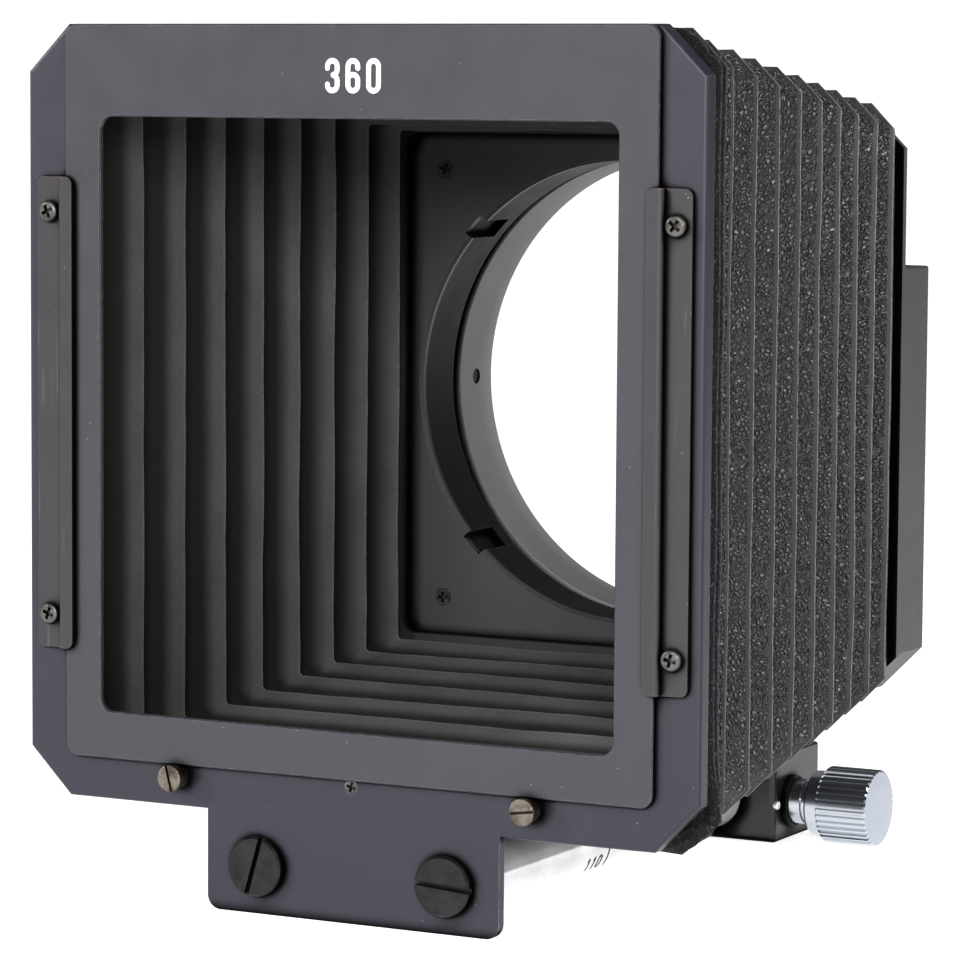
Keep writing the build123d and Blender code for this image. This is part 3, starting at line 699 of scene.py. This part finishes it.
MASK_NUMBER_DOWN = 8.98 * MM       # from the mask's top edge to the middle of its number
MASK_NUMBER_ASIDE = 0.4 * MM
SCALE_BEHIND = 46.5 * MM           # from the plate's face to the middle of the figures on the rod
SCALE_ANGLE = math.radians(-28.0)  # of the rod's scale, up from the rod's right side


def print_everything():
    mask_low, mask_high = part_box("mask_plate")
    rod_low, rod_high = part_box("rod_right")
    rod_x = (rod_low.x + rod_high.x) / 2
    rod_z = (rod_low.z + rod_high.z) / 2
    rod_radius = (rod_high.x - rod_low.x) / 2
    middle = Vector((MASK_NUMBER_ASIDE, mask_low.y, mask_high.z - MASK_NUMBER_DOWN))

    def on_mask(across, up, depth):
        return middle + Vector((across, -depth, up))

    def on_rod(across, up, depth):
        angle = SCALE_ANGLE + up / rod_radius
        out = rod_radius + depth
        along = FRONT + SCALE_BEHIND + across
        return Vector((rod_x + out * math.cos(angle), along, rod_z + out * math.sin(angle)))

    print_figures("mask_number", "360", 1.95 * MM, 5.15 * MM, 0.92 * MM, 4.1 * MM, on_mask,
                  printed("ink_white", 0.8), "mask")
    tick = ([(5.4 * MM, -1.2 * MM), (5.4 * MM, 2.6 * MM)], False)
    print_figures("rod_scale", "110", 1.25 * MM, 2.4 * MM, 0.55 * MM, 2.3 * MM, on_rod,
                  printed("ink_black", 0.012), "front_standard", extra=(tick,))


# ---- camera, light and floor --------------------------------------------------------------
CAMERA_PLACE = (0.36315, -0.77943, 0.06072)
CAMERA_TURN = (27.836, 5.38, 0.391)          # degrees: round from the front, up, and roll
CAMERA_LENS = 158.54                         # mm, on a sensor 36 mm wide
# The soft boxes: name, place, what it faces, its two sides, and its power in watts.
LAMPS = (
    ("key", (-0.1, -1.4, 0.4), (0, -0.1, 0), (0.35, 0.4), 12),
    ("rake", (-1.15, -0.9, 0.45), (0, -0.1, 0), (0.2, 0.25), 14),
    ("fill", (0.6, -1.25, 0.35), (0, -0.08, 0), (0.3, 0.4), 12),
    ("side", (1.15, 0.0, 0.5), (0.05, -0.08, 0), (0.14, 0.25), 8),
    ("top", (0.1, 0.1, 1.4), (0, -0.08, 0), (1.0, 1.0), 3),
)
TABLE_REACH = 0.8                            # half the side of the square table


def make_camera():
    """A long lens, to the right of the front and a little above, rolled very slightly."""
    data = bpy.data.cameras.new("camera")
    data.lens = CAMERA_LENS
    data.sensor_width = 36.0
    camera = bpy.data.objects.new("camera", data)
    bpy.context.scene.collection.objects.link(camera)
    azimuth, elevation, roll = (math.radians(angle) for angle in CAMERA_TURN)
    back = Vector((math.sin(azimuth) * math.cos(elevation), -math.cos(azimuth) * math.cos(elevation),
                   math.sin(elevation)))
    right = (-back).cross(Vector((0, 0, 1))).normalized()
    up = right.cross(-back)
    x_axis = right * math.cos(roll) + up * math.sin(roll)
    y_axis = up * math.cos(roll) - right * math.sin(roll)
    turn = Matrix((x_axis, y_axis, back)).transposed().to_4x4()
    camera.matrix_world = Matrix.Translation(CAMERA_PLACE) @ turn
    bpy.context.scene.camera = camera


def area_light(name, place, target, size, power):
    data = bpy.data.lights.new(name, "AREA")
    data.shape = "RECTANGLE"
    data.size, data.size_y = size
    data.energy = power
    light = bpy.data.objects.new(name, data)
    bpy.context.scene.collection.objects.link(light)
    light.location = place
    light.rotation_euler = (Vector(target) - Vector(place)).to_track_quat("-Z", "Y").to_euler()


def make_studio():
    """A white table in white surroundings, with soft boxes in front, at the right and above."""
    world = bpy.data.worlds.new("studio")
    world.use_nodes = True
    tree = world.node_tree
    background = tree.nodes["Background"]
    background.inputs[0].default_value = (1, 1, 1, 1)
    seen = tree.nodes.new("ShaderNodeLightPath").outputs["Is Camera Ray"]
    strength = tree.nodes.new("ShaderNodeMapRange")
    strength.inputs["To Min"].default_value = AMBIENT
    strength.inputs["To Max"].default_value = 1.1
    tree.links.new(seen, strength.inputs["Value"])
    tree.links.new(strength.outputs[0], background.inputs[1])
    bpy.context.scene.world = world
    bpy.context.scene.view_settings.view_transform = "Standard"
    low = CAD_BOX[0].z
    mesh = bpy.data.meshes.new("floor")
    far = TABLE_REACH
    corners = [(-far, -far, low), (far, -far, low), (far, far, low), (-far, far, low)]
    mesh.from_pydata(corners, [], [(0, 1, 2, 3)])
    white = Shader("table_white", Base_Color=grey(0.8), Roughness=0.9,
                   Emission_Color=grey(1.0), Emission_Strength=0.75)
    mesh.materials.append(white.material)
    floor = bpy.data.objects.new("floor", mesh)
    bpy.context.scene.collection.objects.link(floor)
    for lamp in LAMPS:
        area_light(*lamp)


# ---- put it together ----------------------------------------------------------------------
def dress(material, *nodes):
    for node in nodes:
        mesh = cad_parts[node].data
        mesh.materials.clear()
        mesh.materials.append(material)


def dress_painted():
    front = painted_metal("front_paint", (0.0040, 0.0043, 0.0135, 1), 0.43,
                          speck=0.5, wear=grey(0.2), wear_width=0.2 * MM)
    mask = painted_metal("mask_paint", (0.0190, 0.0186, 0.0255, 1), 0.4,
                         speck=0.5, wear=grey(0.22, 0.04), wear_width=0.25 * MM)
    clip = painted_metal("clip_paint", (0.0115, 0.0100, 0.0130, 1), 0.42, speck=0.4,
                         wear=(0.12, 0.05, 0.035, 1), wear_width=0.7 * MM, streaks=0.08, bend=60.0 * MM)
    rear = painted_metal("rear_paint", (0.034, 0.033, 0.037, 1), 0.5,
                         speck=0.3, wear=grey(0.16), wear_width=0.2 * MM)
    shade = painted_metal("collar_black", grey(0.007), 0.6,
                          speck=0.1, wear=grey(0.1), wear_width=0.3 * MM, gloss=0.15)
    ring = painted_metal("ring_anodised", grey(0.22, -0.01), 0.8,
                         speck=0.2, wear=grey(0.25), wear_width=0.2 * MM)
    bracket = painted_metal("bracket_black", grey(0.006), 0.3,
                            speck=0.2, wear=grey(0.1), wear_width=0.2 * MM)
    matt = painted_metal("frame_black", grey(0.012), 0.7)
    dress(front, "front_plate")
    dress(mask, "mask_plate")
    dress(clip, "mask_clip_left", "mask_clip_right")
    dress(rear, "rear_plate", "rear_housing", "housing_back")
    dress(bracket, "rail_bracket")
    dress(shade, "light_collar")
    dress(ring, "mount_ring")
    dress(matt, "bellows_front_frame", "bellows_rear_frame")


def dress_bare():
    screw = bright_metal("screw_steel", grey(0.12, 0.05), 0.42, 0.3, grey(0.04, 0.1))
    pin = bright_metal("pin_bronze", (0.19, 0.165, 0.14, 1), 0.42, 0.3, (0.06, 0.045, 0.035, 1))
    blackened = bright_metal("blackened_steel", grey(0.033), 0.36, 0.3, grey(0.022))
    chrome = bright_metal("chrome", grey(0.76, -0.01), 0.12, 0.3, metal=0.55)
    turned = bright_metal("turned_metal", grey(0.5), 0.3, 0.3)
    bronze = bright_metal("bronze", (0.42, 0.27, 0.15, 1), 0.35, 0.3)
    dress(screw, "clip_screws", "centre_screw", "rear_plate_screws")
    dress(pin, "mask_pins")
    dress(blackened, "rod_screws", "bracket_screws", "rod_stops", "lens_lock_pad")
    dress(chrome, "rod_left", "rod_right", "guide_pin")
    dress(turned_knob(), "clamp_knob", "clamp_collar", "lens_lock_screw")
    dress(turned, "clamp_screw", "rod_plugs")
    dress(bronze, "rod_bushes", "clamp_shoe")


make_camera()
make_studio()
dress_painted()
dress_bare()
make_bellows(leathercloth(), twill())
print_everything()
